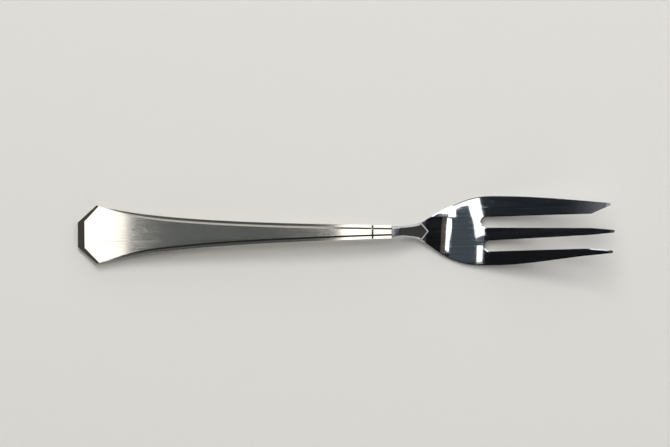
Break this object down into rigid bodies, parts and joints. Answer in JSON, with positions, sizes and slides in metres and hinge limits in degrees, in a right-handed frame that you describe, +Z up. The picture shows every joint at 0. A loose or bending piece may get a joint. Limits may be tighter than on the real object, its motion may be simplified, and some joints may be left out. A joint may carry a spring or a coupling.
{
  "type": "pastry fork",
  "caption": "Small dessert fork with an arched, faceted handle, a crowned polished bowl and tapering tines, one of them broad with a slanted end for cutting cake.",
  "frame": {"origin": "on the table, under the middle of the fork's length and width", "axes": "+X from the end of the handle towards the tips of the tines, +Y towards the broad cutting tine, +Z up from the table with the fork lying face up"},
  "size_m": [0.1528, 0.0198, 0.0132],
  "materials": {
    "satin_steel": "brushed lengthwise to a satin",
    "mirror_steel": "mirror polished"
  },
  "bodies": {
    "root": {"handle": "satin_steel", "neck": "mirror_steel", "bowl": "mirror_steel", "cutting_tine": "mirror_steel", "middle_tine": "mirror_steel", "outer_tine": "mirror_steel"}
  },
  "joints": []
}
